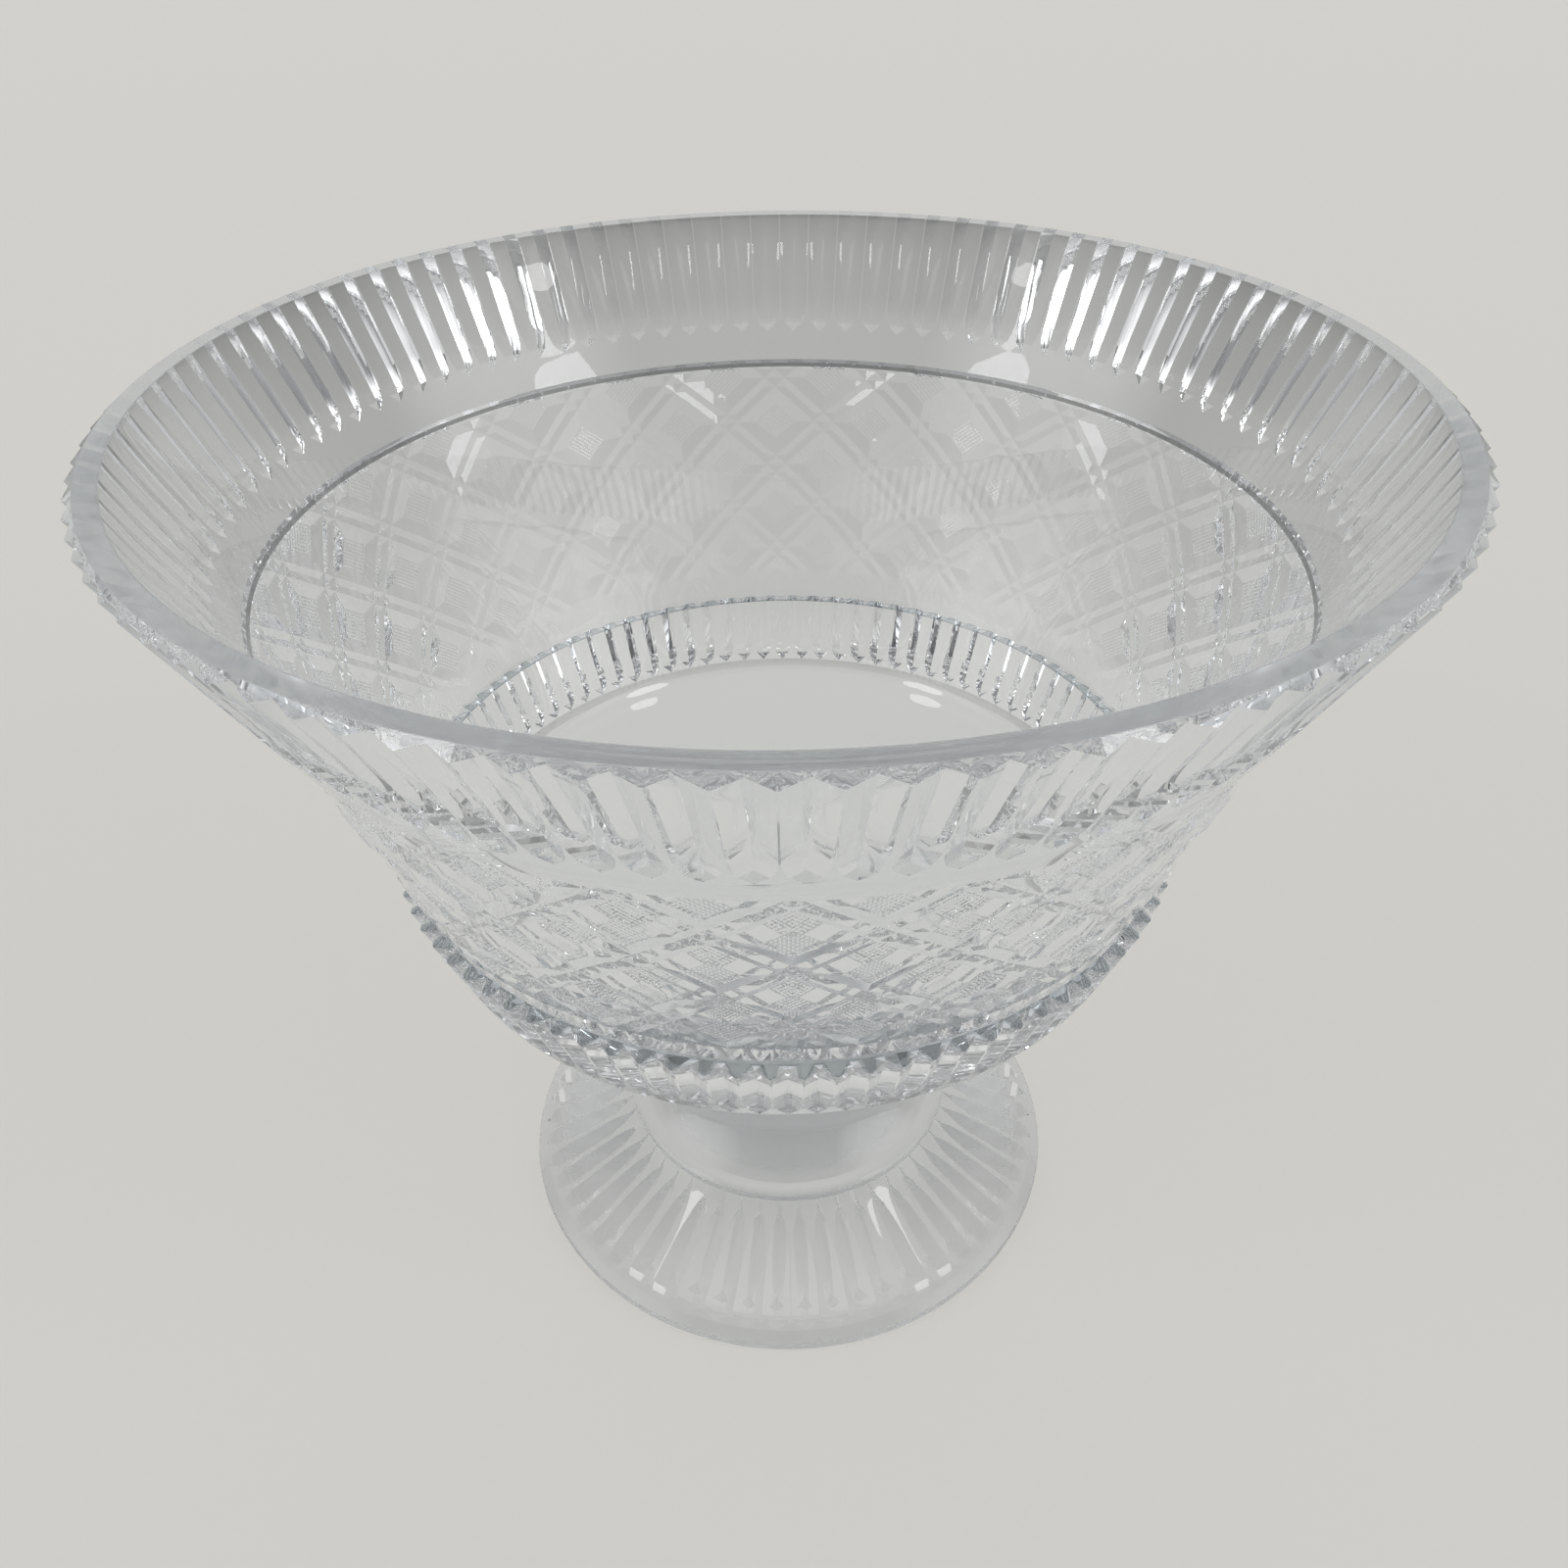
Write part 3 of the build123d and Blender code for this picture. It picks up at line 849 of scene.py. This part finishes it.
slower = add_node(laminate_nodes, "ShaderNodeMath", behind, operation="MULTIPLY_ADD")
counted = add_node(laminate_nodes, "ShaderNodeMath", (table_axes["Y"], slower), operation="MINIMUM")
off_centre = add_node(laminate_nodes, "ShaderNodeCombineXYZ", (table_axes["X"], counted))
from_bowl = add_node(
    laminate_nodes, "ShaderNodeVectorMath", (off_centre,), output="Value", operation="LENGTH"
)
fading = (from_bowl, GLOW_FULL_TO, GLOW_LOW_FROM, 1.0, FAR_GLOW)
seen_in_glass = add_node(laminate_nodes, "ShaderNodeMapRange", fading)
seen_directly = add_node(laminate_nodes, "ShaderNodeLightPath", output="Is Camera Ray")
glow = add_node(laminate_nodes, "ShaderNodeMath", (seen_in_glass, seen_directly), operation="MAXIMUM")
laminate_nodes.links.new(glow, table_surface.inputs["Emission Strength"])
floor_mesh.materials.append(laminate)
print("laminate:", len(laminate_nodes.nodes), "nodes")

# %% [markdown]
# Two round lamps stand behind the camera, left and right. They are weak and wide: all they do is put
# a soft patch on the smooth inside, and bright tips on the rim, the foot and the stem's ring.


# %% Lamps
LIT_POINT = Vector((0, 0, 0.15))    # the bowl's middle


def away_from_bowl(azimuth, elevation):
    """Unit vector from the bowl towards a direction given in degrees."""
    a, e = radians(azimuth), radians(elevation)
    return Vector((cos(a) * cos(e), sin(a) * cos(e), sin(e)))


def soft_lamp(name, azimuth, elevation, distance, size, watts):
    """A round lamp that faces the bowl's middle."""
    lamp = bpy.data.lights.new(name, "AREA")
    lamp.shape = "DISK"
    lamp.size = size
    lamp.energy = watts
    holder = bpy.data.objects.new(name, lamp)
    away = away_from_bowl(azimuth, elevation)
    holder.location = LIT_POINT + away * distance
    holder.rotation_euler = away.to_track_quat("Z", "Y").to_euler()
    bpy.context.scene.collection.objects.link(holder)


LAMP_AZIMUTHS = {"lamp_left": -154, "lamp_right": -28}
LAMP_ELEVATION, LAMP_DISTANCE, LAMP_SIZE, LAMP_WATTS = 46, 1.6, 0.36, 1.4
for lamp_name, lamp_azimuth in LAMP_AZIMUTHS.items():
    soft_lamp(lamp_name, lamp_azimuth, LAMP_ELEVATION, LAMP_DISTANCE, LAMP_SIZE, LAMP_WATTS)
print("lamps:", len(LAMP_AZIMUTHS), "of", LAMP_WATTS, "W")

# %% [markdown]
# The rest of the room is the world: dark behind the camera, pale ahead, dim overhead, and with a soft
# window low on either side. Glass needs such differences, because an even white room would hide
# every cut in it.

# %% Room
world = bpy.data.worlds.new("studio")
bpy.context.scene.world = world
world.use_nodes = True
room = world.node_tree
room.nodes.clear()
direction = add_node(room, "ShaderNodeTexCoord", output="Generated")
axes = add_node(room, "ShaderNodeSeparateXYZ", (direction,)).node.outputs
AHEAD_FROM, AHEAD_FULL = -0.1, 0.7          # how far forward a direction points
OVERHEAD_FROM, OVERHEAD_FULL = 0.15, 0.8    # how far up a direction points
ahead = add_node(room, "ShaderNodeMapRange", (axes["Y"], AHEAD_FROM, AHEAD_FULL))
overhead = add_node(room, "ShaderNodeMapRange", (axes["Z"], OVERHEAD_FROM, OVERHEAD_FULL))
shades = [(ahead, linear("#D2D2D2")), (overhead, linear("#8C8C8C"))]
WINDOW_AZIMUTHS, WINDOW_ELEVATION = (-158, -22), 16
WINDOW_EDGE, WINDOW_CORE = cos(radians(34)), cos(radians(10))
WINDOW_LIGHT = (1.5, 1.5, 1.5, 1.0)
for azimuth in WINDOW_AZIMUTHS:
    towards_window = add_node(
        room,
        "ShaderNodeVectorMath",
        (direction, away_from_bowl(azimuth, WINDOW_ELEVATION)),
        output="Value",
        operation="DOT_PRODUCT",
    )
    window = add_node(
        room,
        "ShaderNodeMapRange",
        (towards_window, WINDOW_EDGE, WINDOW_CORE),
        interpolation_type="SMOOTHSTEP",
    )
    shades.append((window, WINDOW_LIGHT))
# behind the table's far edge the camera sees a plain pale backdrop, whatever side it looks from
seen_by_camera = add_node(room, "ShaderNodeLightPath", output="Is Camera Ray")
shades.append((seen_by_camera, linear("#CBCBC9")))
room_light = linear("#1C1E22")
for share, shade in shades:
    mixed = {"Factor": share, "A": room_light, "B": shade}
    room_light = add_node(room, "ShaderNodeMix", mixed, output="Result", data_type="RGBA")
backdrop = add_node(room, "ShaderNodeBackground", (room_light, 1.0))
add_node(room, "ShaderNodeOutputWorld", (backdrop,))
print("room:", len(room.nodes), "nodes")

# %% [markdown]
# ## The camera
# It looks down at 37 degrees from half a metre away from the foot, close enough for the rim to
# loom over it.

# %% Camera
CAMERA_PITCH = radians(37.26)
CAMERA_ROLL = radians(-0.75)
CAMERA_PLACE = (0.0, -303.1 * MM, 381.6 * MM)
LENS = 30.375                 # millimetres, on a sensor 36 mm wide
camera_data = bpy.data.cameras.new("camera")
camera_data.sensor_width = 36.0
camera_data.lens = LENS
camera = bpy.data.objects.new("camera", camera_data)
camera.location = CAMERA_PLACE
forward = Vector((0, cos(CAMERA_PITCH), -sin(CAMERA_PITCH)))
level_up = Vector((0, sin(CAMERA_PITCH), cos(CAMERA_PITCH)))
right = Vector((1, 0, 0)) * cos(CAMERA_ROLL) + level_up * sin(CAMERA_ROLL)
up = level_up * cos(CAMERA_ROLL) - Vector((1, 0, 0)) * sin(CAMERA_ROLL)
turn = camera.matrix_world.to_3x3()
for column, axis in enumerate((right, up, -forward)):
    for row in range(3):
        turn[row][column] = axis[row]
camera.rotation_euler = turn.to_euler()
bpy.context.scene.collection.objects.link(camera)
bpy.context.scene.camera = camera
print("camera:", LENS, "mm lens,", round(degrees(CAMERA_PITCH), 1), "degrees down")

# %% Colour and light paths
# light runs round inside a cut rim for dozens of bounces; cut short, those paths would show as black
LIGHT_BOUNCES = 64
bpy.context.scene.view_settings.view_transform = "Standard"
bpy.context.scene.cycles.max_bounces = LIGHT_BOUNCES
bpy.context.scene.cycles.transmission_bounces = LIGHT_BOUNCES
bpy.context.scene.cycles.glossy_bounces = LIGHT_BOUNCES
print("light paths:", LIGHT_BOUNCES, "bounces")
